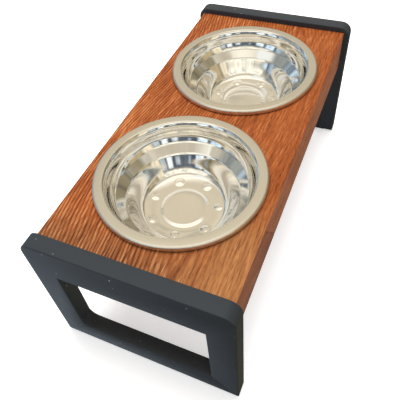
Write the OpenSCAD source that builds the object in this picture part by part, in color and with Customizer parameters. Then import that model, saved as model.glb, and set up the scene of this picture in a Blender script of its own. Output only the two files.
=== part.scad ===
// Raised feeder: a shallow mitred box of brushed wood, hung between two black end frames,
// with two stainless bowls that lift out of round holes in its top.
// Millimetres. +Z is up, X runs along the box and -Y is its front.
// The origin is on the floor, under the middle of the box.

/* [Bowls] */
// Outer diameter of a bowl's rim
rim_diameter = 200; // [168:1:260]
// Width of the flat rim, from its outer edge to the mouth
rim_width = 12; // [10:0.5:16]
// Height of the rim above the wood, down its turned outer edge
rim_height = 7.5; // [6:0.1:8.5]
// Height of a bowl from its rim to its underside
bowl_height = 63; // [52:0.5:94]
// Depth below the rim at which the wall meets its sloping shelf
shelf_top = 27; // [25:0.5:30]
// Depth below the rim of the shelf's inner edge
shelf_foot = 36.5; // [34:0.5:40]
// How far the wall draws in just below the mouth
mouth_flare = 3.7; // [3:0.1:5]
// How far the shelf's outer edge is set in from the mouth
shelf_set_in = 9; // [8:0.5:11]
// Width of the shelf
shelf_width = 11; // [6:0.5:14]
// How far the lower wall runs in from the shelf to the floor
wall_run = 19.5; // [14:0.5:20]
// Thickness of the bowl's steel sheet
sheet = 0.8; // [0.6:0.1:1.2]
// Width of the floor round the circle that is pressed up in its middle
floor_band = 17.5; // [14:0.5:24]
// How much that floor rises from the pressed circle out to the wall
floor_rise = 2; // [0:0.1:3]
// Height of that pressed circle above the floor
ring_rise = 1.2; // [0.6:0.1:2]
// Width of the sloping step round that circle
ring_step = 6; // [3:0.5:8]
// Number of round bosses pressed up in the floor
boss_count = 7; // [3:1:9]
// Width of a boss
boss_width = 11.5; // [8:0.5:13]
// Height of a boss above the floor
boss_rise = 1.2; // [0.6:0.1:2]
// Distance from the foot of the wall to the middle of a boss
boss_from_wall = 7; // [6.5:0.5:10]
// Turn of the first boss from the +X side
boss_turn = 33; // [0:1:120]
// Gap between the two rims
bowl_gap = 17; // [10:1:60]

/* [Box] */
// Thickness of every board in the box
board = 18; // [14:0.5:24]
// Gap between the waist of a bowl's wall and the edge of its hole
waist_gap = 2.9; // [2.5:0.1:6]
// Wood left between a hole and the inside of the long aprons
hole_margin = 6; // [2:0.5:20]
// Wood between a rim and the end of the box
end_margin = 25.5; // [20:0.5:60]
// How far the aprons reach below the bowls
apron_cover = 6.5; // [2:0.5:30]
// Distance from the left end of the box to the middle of the front apron's scarf joint
scarf_from_end = 109; // [80:1:300]
// Length that the scarf joint slants over, from its top to its foot
scarf_run = 44; // [20:1:60]

/* [End frames] */
// Height of a frame without its pads
frame_height = 200; // [165:1:360]
// Thickness of the board that a frame is cut from
frame_thickness = 19; // [15:0.5:28]
// Step from the frame's edge in to the side of the box
side_step = 8; // [0:0.5:20]
// Step from the frame's top edge down to the top of the box
top_step = 8; // [0:0.5:20]
// Width of a frame's legs
leg_width = 33; // [22:1:60]
// Height of a frame's top rail
top_rail = 52; // [38:1:60]
// Height of a frame's bottom rail
bottom_rail = 33; // [20:1:60]
// Radius of a frame's two upper outer corners
frame_corner = 15; // [4:1:24]
// Radius of the window's lower rear corner
window_rear_corner = 12; // [2:1:25]
// Radius of the window's lower front corner
window_front_corner = 3; // [2:1:25]

/* [Fixings and pads] */
// Shank diameter of the frame screws
screw_diameter = 4.5; // [3.5:0.5:5]
// Depth of a frame screw in the frame
screw_grip = 12; // [8:0.5:13]
// Distance of the outer frame screws from the ends of the dowels
screw_from_dowel = 12; // [10:1:20]
// Distance between an outer and an inner frame screw
screw_spacing = 37; // [20:1:37]
// Diameter of the dowels
dowel_diameter = 8; // [6:1:10]
// Depth of a dowel in the apron
dowel_in_apron = 10; // [6:0.5:11]
// Depth of a dowel in the end rail
dowel_in_rail = 20; // [12:1:24]
// Thickness of the plate behind the scarf joint
splice_thickness = 8; // [6:0.5:10]
// Distance from that plate to the edges of the apron's inner face
splice_edge = 4.5; // [3:0.5:8]
// Length of that plate on each side of the slanting joint
splice_lap = 18; // [12:1:26]
// Shank diameter of the small screws in that plate
splice_screw_diameter = 3.5; // [3:0.5:4]
// Depth of those screws in the aprons
splice_grip = 12; // [8:0.5:12]
// Gap between a screw or dowel and its hole
hole_fit = 0.1; // [0.05:0.05:0.3]
// Length of a pad
pad_length = 40; // [20:1:60]
// Thickness of a pad
pad_thickness = 2; // [1:0.5:5]
// Step from a frame's edges to a pad
pad_step = 2; // [1:0.5:3]
// Distance from a frame's side to the end of a pad
pad_inset = 10; // [4:1:30]

/* [Hidden] */
$fn = 96;
cut = 1;

rim_r = rim_diameter / 2;
mouth_r = rim_r - rim_width;
waist_r = mouth_r - mouth_flare;
hole_r = waist_r + sheet + waist_gap;
shelf_inner_r = mouth_r - shelf_set_in - shelf_width;
floor_r = shelf_inner_r - wall_run;
ring_radius = floor_r - floor_band;
boss_sphere = (pow(boss_width / 2, 2) + pow(boss_rise, 2)) / (2 * boss_rise);
seat_flat = 0.08;

box_inner = 2 * (hole_r + hole_margin);
box_width = box_inner + 2 * board;
bowl_x = rim_r + bowl_gap / 2;
box_length = 2 * (bowl_x + rim_r + end_margin);
box_height = bowl_height - rim_height + apron_cover;

frame_width = box_width + 2 * side_step;
frame_foot = pad_thickness;
frame_top = frame_foot + frame_height;
box_top = frame_top - top_step;
box_foot = box_top - box_height;
panel_foot = box_top - board;
window_foot = frame_foot + bottom_rail;
window_top = frame_top - top_rail;
window_width = frame_width - 2 * leg_width;
frame_x = box_length / 2 + frame_thickness / 2;

rail_height = panel_foot - box_foot;
rail_x = box_length / 2 - board / 2;
dowel_levels = [box_foot + rail_height / 4, box_foot + rail_height * 3 / 4];
screw_outer = box_inner / 2 - dowel_in_rail - screw_from_dowel;
screw_inner = screw_outer - screw_spacing;
screw_level = (panel_foot + max(window_top, box_foot)) / 2;
scarf_x = -box_length / 2 + scarf_from_end;
splice_length = scarf_run + 2 * splice_lap;
splice_height = rail_height - 2 * splice_edge;
splice_level = box_foot + rail_height / 2;
splice_screw_x = splice_length / 2 - splice_lap / 2;
splice_screw_z = splice_height / 4;

WOOD = "#a8592f";
WOOD_RED = "#9c5e3f";
RAW_WOOD = "#c79a6b";
BLACK = "#2b2d30";
STEEL = "#c9c6bb";
ZINC = "#8e9296";
RUBBER = "#1b1b1c";

// Points on an arc, from angle a to angle b in n steps
function arc(centre, r, a, b, n) =
    [for (i = [0:n]) centre + r * [cos(a + (b - a) * i / n), sin(a + (b - a) * i / n)]];

function unit(v) = v / norm(v);

// The side of a path that lies at distance d to its left
function beside(path, d) = [
    for (i = [0:len(path) - 1])
        let (
            before = path[max(i - 1, 0)],
            after = path[min(i + 1, len(path) - 1)],
            way = unit(after - before)
        )
        path[i] + d * [-way.y, way.x]
];

// Extrudes a cross-section drawn in Y and Z along X, centred on x = 0
module along_x(length) {
    rotate([90, 0, 90])
        translate([0, 0, -length / 2])
            linear_extrude(length)
                children();
}

module at_both_bowls() {
    for (side = [-1, 1])
        translate([side * bowl_x, 0, 0])
            children();
}

// The four screw places of an end, in Y
module at_frame_screws() {
    for (y = [-screw_outer, -screw_inner, screw_inner, screw_outer])
        translate([0, y, screw_level])
            children();
}

// The four dowel places of an end, on the inside of the aprons
module at_rail_dowels() {
    for (side = [-1, 1])
        for (z = dowel_levels)
            translate([0, side * box_inner / 2, z])
                rotate([90 * side, 0, 0])
                    children();
}

// The four screw places in the splice plate, on its inner face
module at_splice_screws() {
    for (x = [-splice_screw_x, splice_screw_x])
        for (z = [-splice_screw_z, splice_screw_z])
            translate([scarf_x + x, -box_inner / 2 + splice_thickness, splice_level + z])
                rotate([90, 0, 0])
                    children();
}

// A countersunk screw that points along +Z, with its head flush at z = 0
module countersunk_screw(diameter, length) {
    head = diameter;
    sink = diameter * 0.55;
    slot = diameter * 0.22;
    difference() {
        union() {
            cylinder(h = sink, r1 = head, r2 = diameter / 2);
            cylinder(h = length - diameter, d = diameter);
            translate([0, 0, length - diameter])
                cylinder(h = diameter, d1 = diameter, d2 = slot);
        }
        for (turn = [0, 90])
            rotate([0, 0, turn])
                translate([-diameter * 0.5, -slot / 2, -cut])
                    cube([diameter, slot, cut + sink * 0.8]);
    }
}

// The hole that such a screw is seated in
module screw_hole(diameter, length) {
    head = diameter;
    sink = diameter * 0.55;
    cylinder(h = sink + hole_fit, r1 = head + hole_fit, r2 = diameter / 2 + hole_fit);
    translate([0, 0, -cut])
        cylinder(h = cut, r = head + hole_fit);
    cylinder(h = length + hole_fit, d = diameter + 2 * hole_fit);
}

// A dowel across two faces that meet at z = 0, with its short end below, in the apron
module dowel(fit = 0) {
    ease = 1;
    d = dowel_diameter + 2 * fit;
    translate([0, 0, -dowel_in_apron - fit])
        cylinder(h = ease, d1 = d - ease, d2 = d);
    translate([0, 0, -dowel_in_apron + ease - fit])
        cylinder(h = dowel_in_apron + dowel_in_rail - 2 * ease + 2 * fit, d = d);
    translate([0, 0, dowel_in_rail - ease + fit])
        cylinder(h = ease, d1 = d, d2 = d - ease);
}

// The panel's section: its long edges are mitred to meet the aprons
module top_panel() {
    color(WOOD)
        difference() {
            along_x(box_length)
                polygon([
                    [-box_width / 2, box_top],
                    [-box_inner / 2, panel_foot],
                    [box_inner / 2, panel_foot],
                    [box_width / 2, box_top]
                ]);
            at_both_bowls()
                translate([0, 0, panel_foot - cut])
                    cylinder(h = board + 2 * cut, r = hole_r);
        }
}

// A long apron on the front side, mitred at its top, with the holes for its dowels
module apron_blank() {
    difference() {
        along_x(box_length)
            polygon([
                [-box_width / 2, box_foot],
                [-box_inner / 2, box_foot],
                [-box_inner / 2, panel_foot],
                [-box_width / 2, box_top]
            ]);
        for (side = [-1, 1])
            translate([side * rail_x, 0, 0])
                at_rail_dowels()
                    dowel(hole_fit);
    }
}

// All of the space on the left of the scarf joint's slanting plane
module left_of_scarf() {
    half = scarf_run / 2;
    over = cut * scarf_run / box_height;
    translate([0, box_width, 0])
        rotate([90, 0, 0])
            linear_extrude(2 * box_width)
                polygon([
                    [-box_length, box_foot - cut],
                    [scarf_x + half + over, box_foot - cut],
                    [scarf_x - half - over, box_top + cut],
                    [-box_length, box_top + cut]
                ]);
}

module front_apron_blank() {
    difference() {
        apron_blank();
        at_splice_screws()
            cylinder(h = splice_thickness + splice_grip + hole_fit,
                d = splice_screw_diameter + 2 * hole_fit);
    }
}

module front_apron_left() {
    color(WOOD_RED)
        intersection() {
            front_apron_blank();
            left_of_scarf();
        }
}

module front_apron_right() {
    color(WOOD)
        difference() {
            front_apron_blank();
            left_of_scarf();
        }
}

module rear_apron() {
    color(WOOD)
        mirror([0, 1, 0])
            apron_blank();
}

// The plate behind the scarf joint, with its four countersunk holes
module apron_splice() {
    color(RAW_WOOD)
        difference() {
            translate([scarf_x - splice_length / 2, -box_inner / 2, splice_level - splice_height / 2])
                cube([splice_length, splice_thickness, splice_height]);
            at_splice_screws()
                screw_hole(splice_screw_diameter, splice_thickness + splice_grip);
        }
}

module splice_screws() {
    color(ZINC)
        at_splice_screws()
            countersunk_screw(splice_screw_diameter, splice_thickness + splice_grip);
}

// The cross board that closes the right end of the box
module end_rail() {
    color(RAW_WOOD)
        difference() {
            translate([box_length / 2 - board, -box_inner / 2, box_foot])
                cube([board, box_inner, rail_height]);
            translate([box_length / 2 - board, 0, 0])
                at_frame_screws()
                    rotate([0, 90, 0])
                        screw_hole(screw_diameter, board + screw_grip);
            translate([rail_x, 0, 0])
                at_rail_dowels()
                    dowel(hole_fit);
        }
}

module rail_dowels() {
    color(RAW_WOOD)
        translate([rail_x, 0, 0])
            at_rail_dowels()
                dowel();
}

module frame_screws() {
    color(ZINC)
        translate([box_length / 2 - board, 0, 0])
            at_frame_screws()
                rotate([0, 90, 0])
                    countersunk_screw(screw_diameter, board + screw_grip);
}

// Outline of a frame, in Y and Z: two rounded upper corners, square feet
module frame_outline() {
    half = frame_width / 2;
    inner = half - frame_corner;
    shoulder = frame_top - frame_corner;
    translate([-half, frame_foot])
        square([frame_width, shoulder - frame_foot]);
    translate([-inner, shoulder])
        square([2 * inner, frame_corner]);
    for (side = [-1, 1])
        translate([side * inner, shoulder])
            circle(frame_corner);
}

// The wood left in a square corner at the origin that opens towards +Y and +Z
module filled_corner(r) {
    difference() {
        square(r);
        translate([r, r])
            circle(r);
    }
}

// Outline of the window: square at the top, with a filled corner at the foot of each leg
module window_outline() {
    half = window_width / 2;
    difference() {
        translate([-half, window_foot])
            square([window_width, window_top - window_foot]);
        translate([-half, window_foot])
            filled_corner(window_front_corner);
        translate([half, window_foot])
            mirror([1, 0])
                filled_corner(window_rear_corner);
    }
}

// The right end frame, cut from one board
module frame() {
    color(BLACK)
        difference() {
            translate([frame_x, 0, 0])
                along_x(frame_thickness)
                    difference() {
                        frame_outline();
                        window_outline();
                    }
            translate([box_length / 2 - board, 0, 0])
                at_frame_screws()
                    rotate([0, 90, 0])
                        cylinder(h = board + screw_grip + hole_fit, d = screw_diameter + 2 * hole_fit);
        }
}

// A pad with round ends under one leg; side is -1 for the left frame, end is -1 for the front
module pad(side, end) {
    width = frame_thickness - 2 * pad_step;
    reach = (pad_length - width) / 2;
    middle = frame_width / 2 - pad_inset - pad_length / 2;
    color(RUBBER)
        translate([side * frame_x, end * middle, 0]) {
            translate([-width / 2, -reach, 0])
                cube([width, 2 * reach, pad_thickness]);
            for (tip = [-reach, reach])
                translate([0, tip, 0])
                    cylinder(h = pad_thickness, d = width);
        }
}

// A point on a cubic curve with four control points
function curve(a, b, c, d, t) =
    a * pow(1 - t, 3) + 3 * b * t * pow(1 - t, 2) + 3 * c * t * t * (1 - t) + d * pow(t, 3);

function ease(t) = t * t * (3 - 2 * t);

// Points on a cubic curve after its first one, in n steps
function points_on(c, n) = [for (i = [1:n]) curve(c[0], c[1], c[2], c[3], i / n)];

// Middle line of the bowl's sheet, from the end of its hem to the middle of its floor. The hem stands
// on the wood, the edge turns up to the flat rim, the mouth flares, the wall drops and turns in to a
// sloping shelf, and the lower wall curves down to the slightly dished floor.
function sheet_line() =
    let (
        half = sheet / 2,
        hem = 1.3,
        hem_at = [rim_r - half - hem, half + hem - seat_flat],
        edge = 1.8,
        edge_at = [rim_r - half - edge, rim_height - half - edge],
        lip = 1,
        lip_at = [mouth_r + lip, rim_height - half - lip],
        mouth = lip_at + lip * [cos(135), sin(135)],
        waist = [waist_r, rim_height - 15.5],
        shelf_out = [mouth_r - shelf_set_in, rim_height - shelf_top],
        shelf_in = [shelf_inner_r, rim_height - shelf_foot],
        floor_z = rim_height - bowl_height + half,
        foot = [floor_r, floor_z + floor_rise],
        flare = [mouth, mouth - [0.85 * mouth_flare, 2.8], waist + [0.5, 7], waist],
        wall = [waist, waist - [0.4, 4.5], shelf_out + [3.2, 3], shelf_out],
        lower = [
            shelf_in,
            shelf_in - [0.38 * wall_run, 0.43 * (shelf_in.y - foot.y)],
            foot + [3.5, 1],
            foot
        ]
    )
    concat(
        arc(hem_at, hem, -160, 0, 10),
        arc(edge_at, edge, 0, 90, 6),
        arc(lip_at, lip, 90, 135, 3),
        points_on(flare, 6),
        points_on(wall, 6),
        [shelf_in],
        points_on(lower, 9),
        [for (i = [0:6]) [ring_radius - ring_step * i / 6, floor_z + ring_rise * ease(i / 6)]],
        [[0, floor_z + ring_rise]]
    );

// Half section of the bowl's sheet: both sides of its middle line, cut flat where it sits on the wood
module bowl_section() {
    line = sheet_line();
    upper_side = beside(line, -sheet / 2);
    underside = beside(line, sheet / 2);
    last = len(line) - 1;
    difference() {
        polygon(concat(
            upper_side,
            [for (i = [last:-1:0]) underside[i]]
        ));
        translate([rim_r - rim_width / 2, -rim_height])
            square([rim_width, rim_height]);
    }
}

// The places of the bosses, at the middles of their spheres, which lie under the floor
module at_bosses() {
    reach = floor_r - boss_from_wall;
    slope = floor_rise / floor_band;
    level = rim_height - bowl_height + sheet + slope * (reach - ring_radius);
    for (i = [0:boss_count - 1])
        rotate([0, 0, boss_turn + 360 * i / boss_count])
            translate([reach, 0, level])
                rotate([0, -atan(slope), 0])
                    translate([0, 0, boss_rise - boss_sphere])
                        children();
}

// The domed sheet of a boss before it is hollowed: the top of its sphere
module boss_dome() {
    intersection() {
        sphere(boss_sphere);
        translate([0, 0, boss_sphere - boss_rise - sheet / 2])
            cylinder(h = boss_rise + sheet, d = boss_width + cut);
    }
}

module bowl() {
    color(STEEL)
        translate([0, 0, box_top])
            difference() {
                union() {
                    rotate_extrude($fn = 144)
                        bowl_section();
                    at_bosses()
                        boss_dome();
                }
                at_bosses()
                    sphere(boss_sphere - sheet);
            }
}

top_panel();
front_apron_left();
front_apron_right();
rear_apron();
apron_splice();
splice_screws();
mirror([1, 0, 0]) end_rail();  // left_end_rail
end_rail();  // right_end_rail
mirror([1, 0, 0]) rail_dowels();  // left_rail_dowels
rail_dowels();  // right_rail_dowels
mirror([1, 0, 0]) frame();  // left_frame
frame();  // right_frame
mirror([1, 0, 0]) frame_screws();  // left_frame_screws
frame_screws();  // right_frame_screws
pad(-1, -1);  // left_front_pad
pad(-1, 1);  // left_rear_pad
pad(1, -1);  // right_front_pad
pad(1, 1);  // right_rear_pad
translate([-bowl_x, 0, 0]) bowl();  // left_bowl
translate([bowl_x, 0, 0]) bowl();  // right_bowl
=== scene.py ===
import math

import bmesh
import bpy
from mathutils import Matrix, Vector, noise


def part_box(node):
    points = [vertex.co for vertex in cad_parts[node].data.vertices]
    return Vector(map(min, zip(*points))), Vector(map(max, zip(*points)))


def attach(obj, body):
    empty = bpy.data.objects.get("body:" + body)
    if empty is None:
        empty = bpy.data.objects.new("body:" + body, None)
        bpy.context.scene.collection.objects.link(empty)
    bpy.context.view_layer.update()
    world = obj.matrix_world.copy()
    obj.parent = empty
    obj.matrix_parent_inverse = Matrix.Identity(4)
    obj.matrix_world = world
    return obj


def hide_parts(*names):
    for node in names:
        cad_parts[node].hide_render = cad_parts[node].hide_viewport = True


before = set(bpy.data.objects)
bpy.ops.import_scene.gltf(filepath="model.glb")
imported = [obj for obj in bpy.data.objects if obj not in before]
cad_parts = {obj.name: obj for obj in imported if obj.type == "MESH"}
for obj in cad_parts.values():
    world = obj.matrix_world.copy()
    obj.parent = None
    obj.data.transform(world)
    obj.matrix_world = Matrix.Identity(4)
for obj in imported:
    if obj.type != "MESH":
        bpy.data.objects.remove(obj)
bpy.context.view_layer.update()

MM = 0.001

# The camera stands above the near end, where the photograph was taken from: its place, its angles
# and its field of view come from the straight edges of the box and the frames in the photograph.
PHOTO_SIZE = 400
FOCAL_PIXELS = 473.5
PHOTO_CENTRE = (193.2, 184.6)
CAMERA_PLACE = (-0.4198, -0.1861, 0.5912)
CAMERA_TURN = math.radians(-61.28)
CAMERA_DOWN = math.radians(48.63)
CAMERA_ROLL = math.radians(-7.18)

camera_data = bpy.data.cameras.new("camera")
camera_data.sensor_width = 36
camera_data.lens = camera_data.sensor_width * FOCAL_PIXELS / PHOTO_SIZE
camera_data.shift_x = 0.5 - PHOTO_CENTRE[0] / PHOTO_SIZE
camera_data.shift_y = PHOTO_CENTRE[1] / PHOTO_SIZE - 0.5
camera = bpy.data.objects.new("camera", camera_data)
bpy.context.scene.collection.objects.link(camera)
camera.matrix_world = (
    Matrix.Translation(CAMERA_PLACE)
    @ Matrix.Rotation(CAMERA_TURN, 4, "Z")
    @ Matrix.Rotation(math.pi / 2 - CAMERA_DOWN, 4, "X")
    @ Matrix.Rotation(CAMERA_ROLL, 4, "Z")
)
bpy.context.scene.camera = camera
bpy.context.scene.view_settings.view_transform = "Standard"


# The studio is a pale floor under a cream ceiling, with tall windows behind and beside the camera.
# The polished bowls show it, so it is painted on the world; cameras see it plain white.
class Number:
    """A value that changes over a surface. A sum on it adds Math nodes to its node tree."""

    def __init__(self, finish, socket):
        self.finish = finish
        self.socket = socket

    def math(self, operation, *values):
        inputs = dict(enumerate(values))
        node = self.finish.node("ShaderNodeMath", {"operation": operation}, inputs)
        return Number(self.finish, node.outputs[0])

    def __add__(self, other):
        return self.math("ADD", self, other)

    def __radd__(self, other):
        return self.math("ADD", other, self)

    def __sub__(self, other):
        return self.math("SUBTRACT", self, other)

    def __rsub__(self, other):
        return self.math("SUBTRACT", other, self)

    def __mul__(self, other):
        return self.math("MULTIPLY", self, other)

    def __rmul__(self, other):
        return self.math("MULTIPLY", other, self)

    def __truediv__(self, other):
        return self.math("DIVIDE", self, other)

    def __rtruediv__(self, other):
        return self.math("DIVIDE", other, self)

    def __pow__(self, other):
        return self.math("POWER", self, other)

    def between(self, low, high):
        """0 below low and 1 above high, smooth in between; the other way round if high < low."""
        settings = {"interpolation_type": "SMOOTHSTEP", "clamp": True}
        inputs = {"Value": self, "From Min": low, "From Max": high}
        return Number(self.finish, self.finish.node("ShaderNodeMapRange", settings, inputs).outputs[0])


class Finish:
    """The node tree of one finish, with one way to add a node and its inputs."""

    def __init__(self, tree):
        self.tree = tree

    def node(self, kind, settings=None, inputs=None):
        node = self.tree.nodes.new(kind)
        for name, value in (settings or {}).items():
            if name == "stops":
                self.set_stops(node.color_ramp, value)
            else:
                setattr(node, name, value)
        for name, value in (inputs or {}).items():
            self.feed(node.inputs[name], value)
        return node

    def feed(self, socket, value):
        if isinstance(value, Number):
            value = value.socket
        if isinstance(value, bpy.types.NodeSocket):
            self.tree.links.new(value, socket)
        elif isinstance(value, tuple) and len(value) == 3 and socket.type == "RGBA":
            socket.default_value = (*value, 1)
        else:
            socket.default_value = value

    def set_stops(self, ramp, stops):
        while len(ramp.elements) < len(stops):
            ramp.elements.new(1)
        for element, (place, colour) in zip(ramp.elements, stops):
            element.position = place
            element.color = (*colour, 1)

    def place(self, scale=(1, 1, 1), centre=(0, 0, 0)):
        """The object's own coordinates about a centre, scaled."""
        own = self.node("ShaderNodeTexCoord").outputs["Object"]
        moved = self.node(
            "ShaderNodeVectorMath", {"operation": "SUBTRACT"}, {0: own, 1: centre}
        ).outputs[0]
        return self.node("ShaderNodeMapping", None, {"Vector": moved, "Scale": scale}).outputs[0]

    def part(self, vector, axis):
        """One coordinate of a vector, as a Number."""
        parts = self.node("ShaderNodeSeparateXYZ", None, {0: vector})
        return Number(self, parts.outputs["XYZ".index(axis)])

    def noise(self, scale, vector, detail=2.0, roughness=0.5):
        inputs = {"Vector": vector, "Scale": scale, "Detail": detail, "Roughness": roughness}
        return Number(self, self.node("ShaderNodeTexNoise", None, inputs).outputs[0])

    def mix(self, share, first, second, blend="MIX"):
        """A colour between two colours."""
        settings = {"data_type": "RGBA", "blend_type": blend}
        node = self.node("ShaderNodeMix", settings, {0: share, 6: first, 7: second})
        return node.outputs[2]

    def ramp(self, value, stops):
        return self.node("ShaderNodeValToRGB", {"stops": stops}, {0: value}).outputs[0]

    def attribute(self, name):
        node = self.node("ShaderNodeAttribute", {"attribute_name": name})
        return Number(self, node.outputs["Fac"])

    def bump(self, height, distance, strength=1.0, normal=None):
        inputs = {"Height": height, "Distance": distance, "Strength": strength}
        if normal is not None:
            inputs["Normal"] = normal
        return self.node("ShaderNodeBump", None, inputs).outputs[0]


# What the polished steel shows of the room, by height in degrees and colour: dark furniture and
# walls low down, then the pale wall, then a cream ceiling that is brightest above the windows
ROOM_BANDS = [
    (0, (0.30, 0.30, 0.28)),
    (22, (0.38, 0.37, 0.33)),
    (42, (0.68, 0.64, 0.54)),
    (58, (1.10, 1.03, 0.88)),
    (68, (1.42, 1.35, 1.18)),
    (90, (1.20, 1.16, 1.02)),
]
# Parts of the walls, then the windows, in degrees and colour: azimuth of the middle, half the width,
# lower and upper edge, and softness of the edges. A later one hides an earlier one.
WALLS = [
    (18, 50, 0, 34, 6, (0.66, 0.61, 0.50)),
    (18, 50, 34, 65, 5, (0.80, 0.71, 0.54)),
    (75, 26, 0, 42, 8, (0.26, 0.33, 0.40)),
    (107, 16, 0, 52, 8, (0.36, 0.39, 0.38)),
    (190, 62, 47, 58, 4, (0.70, 0.63, 0.51)),
    (140, 20, 48, 78, 6, (1.10, 1.15, 1.12)),
    (248, 14, 0, 42, 4, (1.05, 0.95, 0.72)),
    (276, 15, 0, 36, 4, (0.56, 0.46, 0.28)),
    (294, 15, 36, 50, 4, (0.34, 0.30, 0.20)),
    (262, 24, 50, 60, 4, (0.66, 0.60, 0.48)),
    (322, 32, 0, 34, 6, (0.30, 0.26, 0.17)),
    (185, 60, 0, 24, 3, (0.13, 0.16, 0.20)),
    (196, 50, 27, 46, 3, (1.26, 1.22, 1.06)),
]
WINDOWS = [
    (239, 4, 4, 22, 2, (0.70, 0.80, 0.85)),
    (226, 5, 2, 22, 2, (1.30, 1.38, 1.40)),
    (210, 4, 8, 20, 2, (1.10, 1.20, 1.25)),
    (188, 2, 12, 19, 1, (0.45, 0.55, 0.70)),
    (169, 7, 1, 22, 2, (1.25, 1.45, 1.60)),
    (148, 8, 1, 24, 2, (0.85, 1.10, 1.35)),
    (129, 6, 3, 24, 2, (0.50, 0.66, 0.80)),
    (66, 6, 4, 38, 3, (0.60, 0.80, 0.95)),
    (88, 3, 8, 34, 2, (0.50, 0.62, 0.72)),
    (305, 4, 8, 26, 2, (0.62, 0.70, 0.72)),
]
# Small things on the walls darken or brighten them, and fade out between 30 and 60 degrees up
WHITE = (1.0, 1.0, 1.0)
CLUTTER = [(0.38, (0.62, 0.64, 0.68)), (0.50, WHITE), (0.62, (1.20, 1.18, 1.13))]
CLUTTER_SCALE = 7
CLUTTER_STRETCH = (1, 1, 0.4)
CLUTTER_FADES = (60, 30)
# The ground that glossy things see below the horizon: blue at the rear, olive at the front and dark
# at the ends
REAR_AZIMUTH = 105
FRONT_AZIMUTH = 285
GROUND_BLUE = (0.72, 0.86, 1.00)
GROUND_DARK = (0.06, 0.06, 0.06)
GROUND_OLIVE = (0.22, 0.21, 0.10)
# The soft light that falls on everything that isn't a mirror
STUDIO_HIGH = (0.74, 0.72, 0.68)
STUDIO_LOW = (0.50, 0.56, 0.64)

world =bpy.data.worlds.new("studio")
bpy.context.scene.world = world
world.use_nodes = True
studio = Finish(world.node_tree)
background = world.node_tree.nodes["Background"]
direction = studio.node("ShaderNodeTexCoord").outputs["Generated"]
east, north, up = (studio.part(direction, axis) for axis in "XYZ")
height = up.math("ARCSINE", up) * math.degrees(1)
level = (east * east + north * north) ** 0.5


def turned_from(azimuth):
    """The angle in degrees between a direction and an azimuth, both seen from above."""
    turn = math.radians(azimuth)
    towards = (east * math.cos(turn) + north * math.sin(turn)) / level
    return towards.math("ARCCOSINE", towards) * math.degrees(1)


room = studio.ramp(height / 90, [(degrees / 90, colour) for degrees, colour in ROOM_BANDS])
for middle, half, foot, head, soft, colour in WALLS + WINDOWS:
    across = turned_from(middle).between(half + soft, half - soft)
    upright = height.between(foot - soft, foot + soft) * height.between(head + soft, head - soft)
    room = studio.mix(across * upright, room, colour)
tall = studio.node(
    "ShaderNodeMapping", None, {"Vector": direction, "Scale": CLUTTER_STRETCH}
).outputs[0]
clutter = studio.ramp(studio.noise(CLUTTER_SCALE, tall, detail=3, roughness=0.6), CLUTTER)
room = studio.mix(height.between(*CLUTTER_FADES), room, clutter, "MULTIPLY")
ground = studio.mix(turned_from(REAR_AZIMUTH).between(5, 50), GROUND_BLUE, GROUND_DARK)
ground = studio.mix(turned_from(FRONT_AZIMUTH).between(60, 30), ground, GROUND_OLIVE)
room = studio.mix(height.between(2, -4), room, ground)
studio_light = studio.mix(up.between(-0.2, 0.9), STUDIO_LOW, STUDIO_HIGH)
rays = studio.node("ShaderNodeLightPath").outputs
lit = studio.mix(rays["Is Glossy Ray"], studio_light, room)
studio.feed(background.inputs["Color"], studio.mix(rays["Is Camera Ray"], lit, WHITE))


LIGHT_AIM = Vector((0, 0, 0.15))


def area_light(name, place, size, power, colour):
    """A square soft light that points at the middle of the box and doesn't show in the bowls."""
    data = bpy.data.lights.new(name, "AREA")
    data.size = size
    data.energy = power
    data.color = colour
    light = bpy.data.objects.new(name, data)
    light.location = place
    light.rotation_euler = (LIGHT_AIM - Vector(place)).to_track_quat("-Z", "Y").to_euler()
    light.visible_camera = False
    light.visible_glossy = False
    bpy.context.scene.collection.objects.link(light)


area_light("ceiling_light", (0.3, 0.2, 2.0), 1.2, 57, (1.0, 0.98, 0.95))


def deselect():
    """Back to object mode, with nothing selected."""
    if bpy.context.mode != "OBJECT":
        bpy.ops.object.mode_set(mode="OBJECT")
    bpy.ops.object.select_all(action="DESELECT")


def start(name):
    """Names the primitive that was just added and gives it back."""
    piece = bpy.context.object
    piece.name = name
    piece.data.name = name
    return piece


def new_finish(name, **surface):
    """A new finish with a Principled shader. The values given are the same all over the surface."""
    material = bpy.data.materials.new(name)
    material.use_nodes = True
    shader = material.node_tree.nodes["Principled BSDF"]
    for socket, value in surface.items():
        shader.inputs[socket.replace("_", " ").title().replace("Ior", "IOR")].default_value = value
    return material, Finish(material.node_tree), shader


def dress(piece, material):
    """Gives a piece one finish all over."""
    piece.data.materials.clear()
    piece.data.materials.append(material)


def floor_finish():
    """White paper that is lit a little from below, so that only close shadows show on it."""
    material, finish, shader = new_finish("studio_floor", roughness=0.75, emission_strength=0.46)
    grain = finish.noise(30, finish.place())
    finish.feed(shader.inputs["Base Color"], finish.mix(grain, (0.80, 0.80, 0.80), (0.82, 0.82, 0.82)))
    finish.feed(shader.inputs["Emission Color"], (0.97, 0.98, 1.0))
    return material


deselect()
bpy.ops.mesh.primitive_plane_add(size=12)
floor = start("studio_floor")
floor.visible_glossy = False
dress(floor, floor_finish())

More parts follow.
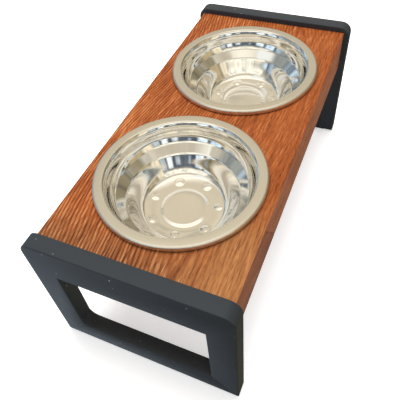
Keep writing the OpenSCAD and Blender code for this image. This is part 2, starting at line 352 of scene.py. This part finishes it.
# The top board: one wide brushed board, its soft grain worn away so that the hard grain stands up
# in long ridges. Its long edges are mitred, and two round holes are routed for the bowls.
panel_low, panel_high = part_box("top_panel")
PANEL_INNER = 188 * MM
HOLE_RADIUS = 88 * MM
BOWL_X = 108.5 * MM
HOLE_CHAMFER = 0.8 * MM
ROUTER_REACH = 2 * MM
ARRIS = 1.2 * MM
ARRIS_DROP = 0.3
TOP_SKIN = 0.1 * MM
GROOVE_DEPTH = 0.45 * MM
MEAN_CUT = 0.43
RING_SPACING = 4.1
HEART_Y = -48
HEART_X = 60
ROWS_ALONG = 96
ROWS_ACROSS = 400


def brushed_height(x, y):
    """How deep the brush has cut at a place, about 0 to 1, and how far that is from a mean cut."""
    x, y = x / MM, y / MM
    drift = 7 * noise.noise(Vector((x / 160, y / 60, 3)))
    heart = HEART_Y + 26 * noise.noise(Vector((x / 240, 0, 9)))
    aside = math.hypot(y - heart + drift, 0.07 * (x - HEART_X))
    rings = (aside + 1.5 * noise.noise(Vector((x / 45, y / 9, 5)))) / RING_SPACING
    ridge = 0.5 + 0.5 * math.cos(2 * math.pi * rings)
    streaks = 0.5 + 0.5 * noise.noise(Vector((x / 30, y / 1.5, 0)))
    fibres = 0.5 + 0.5 * noise.noise(Vector((x / 9, y / 0.9, 7)))
    calm = min(1, max(0.25, 0.35 + (y + 60) / 90 + 0.5 * noise.noise(Vector((x / 90, y / 40, 1)))))
    cut = 0.55 * ridge ** 2 + 0.45 * streaks
    fuzz = 0.28 * (fibres - 0.5)
    return calm * cut + fuzz, calm * (cut - MEAN_CUT) + fuzz


def brushed_board():
    """A fine grid for the top face, and under it a narrower face, so that its sides are mitred."""
    deselect()
    bpy.ops.mesh.primitive_grid_add(
        x_subdivisions=ROWS_ALONG, y_subdivisions=ROWS_ACROSS, size=1,
        location=(0, 0, panel_high.z),
    )
    board = start("top_board")
    size = panel_high - panel_low
    bpy.ops.transform.resize(value=(size.x, size.y, 1))
    bpy.ops.object.transform_apply(location=True, rotation=True, scale=True)
    bpy.ops.object.mode_set(mode="EDIT")
    bpy.ops.mesh.select_all(action="SELECT")
    bpy.ops.mesh.extrude_region_move(TRANSFORM_OT_translate={"value": (0, 0, panel_low.z - panel_high.z)})
    bpy.ops.transform.resize(value=(1, PANEL_INNER / size.y, 1))
    bpy.ops.mesh.dissolve_faces()
    bpy.ops.mesh.select_all(action="SELECT")
    bpy.ops.mesh.normals_make_consistent(inside=False)
    bpy.ops.object.mode_set(mode="OBJECT")
    return board


def pick(kind, wanted):
    """In edit mode, selects only the faces, edges or corners that a test wants."""
    data = bpy.context.object.data
    mode = {"faces": "FACE", "edges": "EDGE", "verts": "VERT"}[kind]
    bpy.ops.mesh.select_mode(type=mode)
    bpy.ops.mesh.select_all(action="DESELECT")
    mesh = bmesh.from_edit_mesh(data)
    for item in getattr(mesh, kind):
        if wanted(item):
            item.select_set(True)
    bmesh.update_edit_mesh(data)


def routing_cutter(x):
    """What the router takes out: a hole with a small chamfer at its top edge."""
    deselect()
    top = panel_high.z - HOLE_CHAMFER
    deep = top - (panel_low.z - ROUTER_REACH)
    bpy.ops.mesh.primitive_cylinder_add(
        vertices=160, radius=HOLE_RADIUS, depth=deep, location=(x, 0, top - deep / 2),
    )
    cutter = start("routing_cutter")
    bpy.ops.object.transform_apply(location=True, rotation=True, scale=True)
    bpy.ops.object.mode_set(mode="EDIT")
    pick("faces", lambda face: face.normal.z > 0.9)
    grown = (HOLE_RADIUS + 2 * HOLE_CHAMFER) / HOLE_RADIUS
    bpy.ops.mesh.extrude_region_move(TRANSFORM_OT_translate={"value": (0, 0, 2 * HOLE_CHAMFER)})
    bpy.ops.transform.resize(value=(grown, grown, 1))
    bpy.ops.object.mode_set(mode="OBJECT")
    return cutter


def select_only(piece):
    """Selects one piece and makes it the active one."""
    deselect()
    bpy.context.view_layer.objects.active = piece
    piece.select_set(True)


def cut_with(piece, cutter):
    """Takes the cutter's shape out of a piece, and the cutter away."""
    select_only(piece)
    cut = piece.modifiers.new("cut", "BOOLEAN")
    cut.operation = "DIFFERENCE"
    cut.solver = "EXACT"
    cut.object = cutter
    bpy.ops.object.modifier_apply(modifier=cut.name)
    bpy.data.objects.remove(cutter)


def wear_board(board):
    """Lowers the top by the brushed grain and its long edges a little, and notes the grooves."""
    grooves = board.data.attributes.new("groove", "FLOAT", "POINT")
    edge = panel_high.y - ARRIS
    for corner in board.data.vertices:
        shade = 0.0
        if corner.co.z > panel_high.z - TOP_SKIN:
            worn, shade = brushed_height(corner.co.x, corner.co.y)
            past = min(ARRIS, max(0, abs(corner.co.y) - edge))
            rounded = ARRIS - math.sqrt(ARRIS ** 2 - past ** 2)
            corner.co.z -= ARRIS_DROP * rounded + GROOVE_DEPTH * worn * (1 - past / ARRIS)
        grooves.data[corner.index].value = shade


# Colours of the wood from its grooves, through its middle tone, to its ridges and their painted glints, a
# painted highlight on the ridge tops
TOP_COLOURS = [(0.085, 0.019, 0.005), (0.185, 0.046, 0.011), (0.255, 0.070, 0.018), (0.39, 0.155, 0.058)]
BROWN_COLOURS = [(0.055, 0.018, 0.006), (0.130, 0.044, 0.015), (0.190, 0.072, 0.026), (0.34, 0.17, 0.075)]
# The pale colours are partly the wood's own flame figure and partly a painted sheen
PALE_AND_SHEEN_COLOURS = [(0.12, 0.042, 0.014), (0.23, 0.090, 0.031), (0.30, 0.128, 0.045), (0.44, 0.22, 0.09)]
TONES = (0.22, 0.44, 0.62, 0.80)
# Where the near end turns brown, and where its pale patch begins and is full: partly the wood's flame
# figure, partly a painted sheen
BROWN_X = (-175 * MM, -230 * MM)
BROWN_SHARE = 0.8
FLAME_AND_SHEEN_X = (-95 * MM, -175 * MM)
FLAME_AND_SHEEN_Y = (-40 * MM, -82 * MM)
RAGGED = 40 * MM


def wood_ramp(finish, tone, colours):
    """The wood's colour for its tone, which is low in the grooves and high on the ridges; on the top board's
    ridges the highest colour is a painted glint.
    """
    return finish.ramp(tone, list(zip(TONES, colours)))


def near_end_colours(finish, tone, colour):
    """The board's near end is browner, and pale where the saw met the middle of the growth rings; that pale
    patch also carries a painted sheen.
    """
    own = finish.place()
    x, y = finish.part(own, "X"), finish.part(own, "Y")
    brown = wood_ramp(finish, tone, BROWN_COLOURS)
    pale = wood_ramp(finish, tone, PALE_AND_SHEEN_COLOURS)
    ragged = RAGGED * (finish.noise(9, finish.place(scale=(1, 6, 6)), detail=3) - 0.5)
    colour = finish.mix((x + ragged).between(*BROWN_X) * BROWN_SHARE, colour, brown)
    # Pale patch: flame figure, with a painted sheen laid into its colour
    flame_and_sheen = (y + ragged).between(*FLAME_AND_SHEEN_Y) * (x + ragged).between(*FLAME_AND_SHEEN_X)
    return finish.mix(flame_and_sheen, colour, pale)


def brushed_wood(name, colours, top=False):
    """Oiled wood with its grain along X; the top board also darkens in its brushed grooves."""
    material, finish, shader = new_finish(name, specular_ior_level=0.16)
    along = finish.place(scale=(1, 14, 14))
    streaks = finish.noise(26, along, detail=5, roughness=0.62)
    fibres = finish.noise(150, along, detail=3)
    patches = finish.noise(7, finish.place(scale=(0.5, 2.2, 2.2)), detail=2)
    tone = 0.52 + 0.9 * (streaks - 0.5) + 0.5 * (fibres - 0.5) + 0.35 * (patches - 0.5)
    if top:
        pores = finish.noise(70, along, detail=2).between(0.60, 0.72)
        # High tone on the ridges reaches the painted glint colours
        tone = tone - 0.6 * finish.attribute("groove") - 0.3 * pores
    colour = wood_ramp(finish, tone, colours)
    if top:
        colour = near_end_colours(finish, tone, colour)
    finish.feed(shader.inputs["Base Color"], colour)
    finish.feed(shader.inputs["Roughness"], 0.62 - 0.2 * tone)
    finish.feed(shader.inputs["Normal"], finish.bump(tone, 0.3 * MM))
    return material


board = brushed_board()
for side in (-1, 1):
    cut_with(board, routing_cutter(side * BOWL_X))
wear_board(board)
select_only(board)
bpy.ops.object.shade_smooth_by_angle(angle=math.radians(35))
dress(board, brushed_wood("brushed_wood", TOP_COLOURS, top=True))
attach(board, "stand")
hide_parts("top_panel")

# The long aprons: sanded boards, mitred to the top board along its edges and oiled with it. The
# front one is two lengths glued with a slanting scarf joint; the near length is redder.
SCARF_X = -125 * MM
SCARF_HALF = 22 * MM
BOARD = 18 * MM
SEAM = 0.6 * MM
TOLERANCE = 0.01 * MM


def apron(name, nodes, side):
    """A board on edge: its outer edges rounded, then its top cut to the mitre."""
    low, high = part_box(nodes[0])
    for node in nodes[1:]:
        more_low, more_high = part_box(node)
        low = Vector(map(min, low, more_low))
        high = Vector(map(max, high, more_high))
    outer = side * panel_high.y
    inner = side * (panel_high.y - BOARD)
    deselect()
    middle = (0, (outer + inner) / 2, (low.z + high.z) / 2)
    bpy.ops.mesh.primitive_cube_add(size=1, location=middle)
    piece = start(name)
    bpy.ops.transform.resize(value=(panel_high.x - panel_low.x, BOARD, high.z - low.z))
    bpy.ops.object.transform_apply(location=True, rotation=True, scale=True)
    bpy.ops.object.mode_set(mode="EDIT")
    pick("edges", lambda edge: all(abs(v.co.y - outer) < TOLERANCE for v in edge.verts)
         and abs(edge.verts[0].co.z - edge.verts[1].co.z) < TOLERANCE)
    bpy.ops.mesh.bevel(offset=ARRIS, segments=4, affect="EDGES")
    bpy.ops.mesh.select_all(action="SELECT")
    bpy.ops.mesh.bisect(
        plane_co=(0, outer, high.z), plane_no=(0, -side, 1), use_fill=True, clear_outer=True,
    )
    bpy.ops.mesh.select_all(action="SELECT")
    bpy.ops.mesh.normals_make_consistent(inside=False)
    bpy.ops.object.mode_set(mode="OBJECT")
    return piece


def scarf_cut(piece, keep_left):
    """Keeps one side of the scarf joint's slanting plane, with a hair of rounding at the seam."""
    low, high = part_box("rear_apron")
    slope = Vector((high.z - low.z, 0, 2 * SCARF_HALF)).normalized()
    select_only(piece)
    bpy.ops.object.mode_set(mode="EDIT")
    bpy.ops.mesh.select_all(action="SELECT")
    bpy.ops.mesh.bisect(
        plane_co=(SCARF_X, 0, (low.z + high.z) / 2), plane_no=slope, use_fill=True,
        clear_outer=keep_left, clear_inner=not keep_left,
    )
    pick("faces", lambda face: abs(face.normal.dot(slope)) > 0.98)
    bpy.ops.mesh.bevel(offset=SEAM, segments=2, affect="EDGES")
    bpy.ops.object.mode_set(mode="OBJECT")


def finish_piece(piece, material, body, nodes, angle=35):
    """Smooths a piece, gives it its finish, and says what it rides on and stands for."""
    select_only(piece)
    bpy.ops.object.shade_smooth_by_angle(angle=math.radians(angle))
    dress(piece, material)
    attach(piece, body)
    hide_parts(*nodes)


RED_COLOURS = [(0.110, 0.030, 0.012), (0.205, 0.064, 0.028), (0.290, 0.098, 0.045), (0.36, 0.14, 0.07)]
APRON_COLOURS = [(0.125, 0.035, 0.013), (0.260, 0.082, 0.032), (0.370, 0.125, 0.052), (0.44, 0.18, 0.08)]
RED_WOOD = brushed_wood("red_wood", RED_COLOURS)
APRON_WOOD = brushed_wood("apron_wood", APRON_COLOURS)
near = apron("front_apron_near", ["front_apron_left", "front_apron_right"], -1)
scarf_cut(near, True)
finish_piece(near, RED_WOOD, "stand", ["front_apron_left"])
far = apron("front_apron_far", ["front_apron_left", "front_apron_right"], -1)
scarf_cut(far, False)
finish_piece(far, APRON_WOOD, "stand", ["front_apron_right"])
rear = apron("rear_apron_board", ["rear_apron"], 1)
finish_piece(rear, APRON_WOOD, "stand", ["rear_apron"])

# The end frames: each is cut from one board, its upper corners rounded, its window sawn out and
# every edge eased with sandpaper, then sprayed satin black.
FRAME_CORNER = 15 * MM
WINDOW_WIDTH = 174 * MM
WINDOW_FOOT = 35 * MM
WINDOW_TOP = 150 * MM
WINDOW_REAR_CORNER = 12 * MM
WINDOW_FRONT_CORNER = 3 * MM
SAW_REACH = 5 * MM
LEAST_THROUGH = 5 * MM
EASED = 1.3 * MM


def block(name, low, high):
    """A block between two corners."""
    deselect()
    middle = [(a + b) / 2 for a, b in zip(low, high)]
    bpy.ops.mesh.primitive_cube_add(size=1, location=middle)
    piece = start(name)
    bpy.ops.transform.resize(value=[b - a for a, b in zip(low, high)])
    bpy.ops.object.transform_apply(location=True, rotation=True, scale=True)
    return piece


def is_along_x(edge):
    """Whether an edge runs through the board, from one of its faces to the other."""
    return abs(edge.verts[0].co.x - edge.verts[1].co.x) > LEAST_THROUGH


def window_cutter(low, high):
    """What the saw takes out: a window whose lower corners are rounded, the front one less."""
    cutter = block(
        "window_cutter",
        (low.x - SAW_REACH, -WINDOW_WIDTH / 2, WINDOW_FOOT),
        (high.x + SAW_REACH, WINDOW_WIDTH / 2, WINDOW_TOP),
    )
    bpy.ops.object.mode_set(mode="EDIT")
    for side, radius, steps in ((-1, WINDOW_FRONT_CORNER, 4), (1, WINDOW_REAR_CORNER, 10)):
        pick("edges", lambda edge: is_along_x(edge) and side * edge.verts[0].co.y > 0
             and edge.verts[0].co.z < WINDOW_FOOT + TOLERANCE)
        bpy.ops.mesh.bevel(offset=radius, segments=steps, affect="EDGES")
    bpy.ops.object.mode_set(mode="OBJECT")
    return cutter


def end_frame(name, node):
    """One end frame: a block with two rounded upper corners, its window cut and its edges eased."""
    low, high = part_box(node)
    piece = block(name, low, high)
    bpy.ops.object.mode_set(mode="EDIT")
    pick("edges", lambda edge: is_along_x(edge) and edge.verts[0].co.z > high.z - TOLERANCE)
    bpy.ops.mesh.bevel(offset=FRAME_CORNER, segments=12, affect="EDGES")
    bpy.ops.object.mode_set(mode="OBJECT")
    cut_with(piece, window_cutter(low, high))
    ease = piece.modifiers.new("eased", "BEVEL")
    ease.width = EASED
    ease.segments = 3
    ease.limit_method = "ANGLE"
    ease.angle_limit = math.radians(40)
    ease.harden_normals = False
    bpy.ops.object.modifier_apply(modifier=ease.name)
    return piece


def black_paint():
    """Sprayed satin paint: a little cloudy, finely pebbled, with a few specks of dust."""
    material, finish, shader = new_finish("black_paint", specular_ior_level=0.38)
    cloud = finish.noise(14, finish.place(), detail=3)
    orange_peel = finish.noise(420, finish.place(), detail=2)
    specks = finish.noise(330, finish.place(), detail=0).between(0.87, 0.88)
    paint = finish.mix(cloud, (0.016, 0.020, 0.025), (0.023, 0.027, 0.032))
    finish.feed(shader.inputs["Base Color"], finish.mix(specks, paint, (0.35, 0.36, 0.36)))
    finish.feed(shader.inputs["Roughness"], 0.42 + 0.12 * cloud)
    finish.feed(shader.inputs["Normal"], finish.bump(orange_peel, 0.05 * MM))
    return material


BLACK_PAINT = black_paint()
for side in ("left", "right"):
    piece = end_frame(side + "_end_frame", side + "_frame")
    finish_piece(piece, BLACK_PAINT, "stand", [side + "_frame"], angle=30)

# The bowls: spun and pressed from 0.8 mm stainless sheet. The flat rim's edge is turned down on to
# the wood and hemmed, the mouth flares, the wall has a sloping shelf, and the floor is dished, with
# a circle and seven round bosses pressed up in it.
SHEET = 0.8 * MM
RIM_RADIUS = 100 * MM
RIM_WIDTH = 12 * MM
RIM_HEIGHT = 7.5 * MM
HEM_RADIUS = 1.3 * MM
EDGE_RADIUS = 2.6 * MM
LIP_RADIUS = 1 * MM
BOWL_HEIGHT = 63 * MM
WAIST_DROP = 15.5 * MM
SHELF_TOP = 27 * MM
SHELF_FOOT = 36.5 * MM
MOUTH_FLARE = 3.7 * MM
SHELF_SET_IN = 9 * MM
SHELF_WIDTH = 11 * MM
SHELF_BEND = 1.6 * MM
WALL_RUN = 19.5 * MM
FLOOR_BAND = 17.5 * MM
FLOOR_RISE = 2 * MM
DISH_POWER = 1.8
RING_RISE = 1.2 * MM
RING_STEP = 6 * MM
BOSSES = 7
BOSS_WIDTH = 11.5 * MM
BOSS_RISE = 1.2 * MM
BOSS_FROM_WALL = 7 * MM
BOSS_TURN = math.radians(33)
SATIN_BLEND = 1.5 * MM
SPIN_STEPS = 192
BAND_STEPS = 14
RING_STEPS = 8


def arc(centre, radius, first, last, steps):
    """Points on an arc between two angles in degrees, in radius and height."""
    angles = [math.radians(first + (last - first) * i / steps) for i in range(steps + 1)]
    return [(centre[0] + radius * math.cos(a), centre[1] + radius * math.sin(a)) for a in angles]


def curve_point(points, t):
    """A point on a cubic curve."""
    shares = ((1 - t) ** 3, 3 * t * (1 - t) ** 2, 3 * t * t * (1 - t), t ** 3)
    return tuple(sum(share * point[k] for share, point in zip(shares, points)) for k in (0, 1))


def curve(points, steps):
    """The points along a cubic curve, without its first one."""
    return [curve_point(points, i / steps) for i in range(1, steps + 1)]


def sheet_line():
    """The middle of the sheet, in radius and height above the wood, from its hem inwards.

    With it come the raised circle's height, the floor's radius and the two bends of the shelf.
    """
    half = SHEET / 2
    rim_z = RIM_HEIGHT - half
    mouth_r = RIM_RADIUS - RIM_WIDTH
    mouth = (
        mouth_r + LIP_RADIUS - LIP_RADIUS * math.sqrt(0.5),
        rim_z - LIP_RADIUS + LIP_RADIUS * math.sqrt(0.5),
    )
    waist = (mouth_r - MOUTH_FLARE, RIM_HEIGHT - WAIST_DROP)
    shelf_out = (mouth_r - SHELF_SET_IN, RIM_HEIGHT - SHELF_TOP)
    shelf_in = (shelf_out[0] - SHELF_WIDTH, RIM_HEIGHT - SHELF_FOOT)
    floor_z = RIM_HEIGHT - BOWL_HEIGHT + half
    foot_z = floor_z + FLOOR_RISE
    floor_r = shelf_in[0] - WALL_RUN
    flare = [
        mouth, (mouth[0] - 0.85 * MOUTH_FLARE, mouth[1] - 2.8 * MM),
        (waist[0] + 0.5 * MM, waist[1] + 7 * MM), waist,
    ]
    wall = [
        waist, (waist[0] - 0.2 * MM, waist[1] - 2 * MM),
        (shelf_out[0] + 3.9 * MM, shelf_out[1] + 6 * MM), shelf_out,
    ]
    lower = [
        shelf_in, (shelf_in[0] - 0.34 * WALL_RUN, shelf_in[1] - 0.42 * (shelf_in[1] - foot_z)),
        (floor_r + 7 * MM, foot_z + 2.1 * MM), (floor_r, foot_z),
    ]
    ring = floor_r - FLOOR_BAND
    line = arc((RIM_RADIUS - half - HEM_RADIUS, half + HEM_RADIUS), HEM_RADIUS, -160, 0, 12)
    line += arc((RIM_RADIUS - half - EDGE_RADIUS, rim_z - EDGE_RADIUS), EDGE_RADIUS, 0, 90, 8)
    line += arc((mouth_r + LIP_RADIUS, rim_z - LIP_RADIUS), LIP_RADIUS, 90, 135, 4)
    line += curve(flare, 12)
    line += curve(wall, 12)
    line.append(shelf_in)
    line += curve(lower, 16)
    for i in range(1, BAND_STEPS):
        out_share = 1 - i / BAND_STEPS
        line.append((ring + FLOOR_BAND * out_share, floor_z + FLOOR_RISE * out_share ** DISH_POWER))
    for i in range(RING_STEPS + 1):
        t = i / RING_STEPS
        line.append((ring - RING_STEP * t, floor_z + RING_RISE * t * t * (3 - 2 * t)))
    line += [((ring - RING_STEP) * share, floor_z + RING_RISE) for share in (0.75, 0.5, 0.25)]
    return line, floor_z + RING_RISE, floor_r, (shelf_out, shelf_in)


def press_bosses(piece, centre, floor_r):
    """Presses the seven round bosses up from the floor."""
    sphere = ((BOSS_WIDTH / 2) ** 2 + BOSS_RISE ** 2) / (2 * BOSS_RISE)
    for i in range(BOSSES):
        angle = BOSS_TURN + 2 * math.pi * i / BOSSES
        r = floor_r - BOSS_FROM_WALL
        x, y = centre.x + r * math.cos(angle), centre.y + r * math.sin(angle)
        for corner in piece.data.vertices:
            away = math.hypot(corner.co.x - x, corner.co.y - y)
            if away < BOSS_WIDTH / 2:
                corner.co.z += math.sqrt(sphere ** 2 - away ** 2) - (sphere - BOSS_RISE)


def bowl(name, node):
    """A bowl: one corner is drawn out along the sheet's line, which is spun and thickened."""
    low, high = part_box(node)
    centre = Vector(((low.x + high.x) / 2, 0, panel_high.z))
    line, middle_z, floor_r, shelf = sheet_line()
    deselect()
    bpy.ops.mesh.primitive_plane_add(size=1 * MM, location=(0, 0, 0))
    piece = start(name)
    bpy.ops.object.mode_set(mode="EDIT")
    bpy.ops.mesh.select_all(action="SELECT")
    bpy.ops.mesh.merge(type="CENTER")
    bpy.ops.mesh.select_mode(type="VERT")
    bpy.ops.mesh.select_all(action="SELECT")
    bpy.ops.transform.translate(value=centre + Vector((line[0][0], 0, line[0][1])))
    for (r0, z0), (r1, z1) in zip(line, line[1:]):
        bpy.ops.mesh.extrude_vertices_move(TRANSFORM_OT_translate={"value": (r1 - r0, 0, z1 - z0)})
    r0, z0 = line[-1]
    bpy.ops.mesh.extrude_vertices_move(TRANSFORM_OT_translate={"value": (-r0, 0, middle_z - z0)})
    for r, z in shelf:
        place = centre + Vector((r, 0, z))
        pick("verts", lambda v: (v.co - place).length < TOLERANCE)
        bpy.ops.mesh.bevel(offset=SHELF_BEND, segments=4, affect="VERTICES")
    bpy.ops.mesh.select_all(action="SELECT")
    bpy.ops.mesh.spin(steps=SPIN_STEPS, angle=2 * math.pi, center=centre, axis=(0, 0, 1))
    bpy.ops.mesh.select_all(action="SELECT")
    bpy.ops.mesh.remove_doubles(threshold=0.02 * MM)
    bpy.ops.mesh.normals_make_consistent(inside=False)
    bpy.ops.object.mode_set(mode="OBJECT")
    press_bosses(piece, centre, floor_r)
    wall = piece.modifiers.new("sheet", "SOLIDIFY")
    wall.thickness = SHEET
    wall.offset = 0
    wall.use_even_offset = True
    bpy.ops.object.modifier_apply(modifier=wall.name)
    return piece


def bowl_steel(name, centre):
    """Stainless steel, polished inside and satin on the rim, with faint rings from spinning."""
    material, finish, shader = new_finish(name, metallic=1.0)
    own = finish.place(centre=centre)
    x, y = finish.part(own, "X"), finish.part(own, "Y")
    radius = (x * x + y * y) ** 0.5
    mouth_r = RIM_RADIUS - RIM_WIDTH
    rim = radius.between(mouth_r, mouth_r + SATIN_BLEND)
    spun = finish.node(
        "ShaderNodeCombineXYZ", None, {"X": radius, "Y": 0.0, "Z": 0.0}
    ).outputs[0]
    rings = finish.noise(900, spun, detail=2)
    smudge = finish.noise(28, own, detail=3)
    waves = finish.bump(finish.noise(26, own, detail=1), 0.5 * MM)
    finish.feed(shader.inputs["Base Color"], finish.mix(rim, (0.81, 0.79, 0.755), (0.75, 0.71, 0.63)))
    finish.feed(shader.inputs["Roughness"], 0.05 + 0.06 * smudge + rim * 0.30)
    finish.feed(shader.inputs["Normal"], finish.bump(rings, 0.02 * MM, 0.35, waves))
    return material


for side in ("left", "right"):
    node = side + "_bowl"
    piece = bowl(side + "_steel_bowl", node)
    low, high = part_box(node)
    steel = bowl_steel(side + "_bowl_steel", ((low.x + high.x) / 2, 0, 0))
    finish_piece(piece, steel, node, [node], angle=60)

# The plain parts inside the box and under the feet keep their solids, and get a finish only: raw
# wood rails with their dowels, a raw wood plate, zinc plated screws and rubber pads.
RAW_PALE = (0.58, 0.38, 0.19)
RAW_DARK = (0.44, 0.25, 0.11)
DOWEL_PALE = (0.66, 0.48, 0.27)
DOWEL_DARK = (0.52, 0.34, 0.17)
GRAIN_ALONG_X = (0.6, 8, 8)
GRAIN_ALONG_Y = (8, 0.6, 8)


def raw_wood(name, pale, dark, stretch):
    """Planed wood with no finish. Its grain runs the way that the pattern is stretched most."""
    material, finish, shader = new_finish(name, roughness=0.7)
    grain = finish.noise(90, finish.place(scale=stretch), detail=4, roughness=0.6)
    finish.feed(shader.inputs["Base Color"], finish.mix(grain, dark, pale))
    finish.feed(shader.inputs["Normal"], finish.bump(grain, 0.1 * MM))
    return material


def zinc_plate():
    """Thin zinc plating, a little cloudy."""
    material, finish, shader = new_finish("zinc", metallic=1.0)
    cloud = finish.noise(300, finish.place(), detail=2)
    finish.feed(shader.inputs["Base Color"], finish.mix(cloud, (0.50, 0.51, 0.53), (0.62, 0.63, 0.64)))
    finish.feed(shader.inputs["Roughness"], 0.28 + 0.15 * cloud)
    return material


def pad_rubber():
    """Matt black rubber with a fine grain."""
    material, finish, shader = new_finish("pad_rubber")
    grain = finish.noise(900, finish.place(), detail=2)
    finish.feed(shader.inputs["Base Color"], finish.mix(grain, (0.012, 0.012, 0.012), (0.025, 0.025, 0.025)))
    finish.feed(shader.inputs["Roughness"], 0.75 + 0.15 * grain)
    finish.feed(shader.inputs["Normal"], finish.bump(grain, 0.05 * MM))
    return material


RAIL_WOOD = raw_wood("raw_rail_wood", RAW_PALE, RAW_DARK, GRAIN_ALONG_Y)
PLATE_WOOD = raw_wood("raw_plate_wood", RAW_PALE, RAW_DARK, GRAIN_ALONG_X)
DOWEL_WOOD = raw_wood("dowel_wood", DOWEL_PALE, DOWEL_DARK, GRAIN_ALONG_Y)
ZINC = zinc_plate()
RUBBER = pad_rubber()
dress(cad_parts["apron_splice"], PLATE_WOOD)
dress(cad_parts["splice_screws"], ZINC)
for side in ("left", "right"):
    dress(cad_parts[side + "_end_rail"], RAIL_WOOD)
    dress(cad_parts[side + "_rail_dowels"], DOWEL_WOOD)
    dress(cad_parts[side + "_frame_screws"], ZINC)
    for end in ("front", "rear"):
        dress(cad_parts[side + "_" + end + "_pad"], RUBBER)
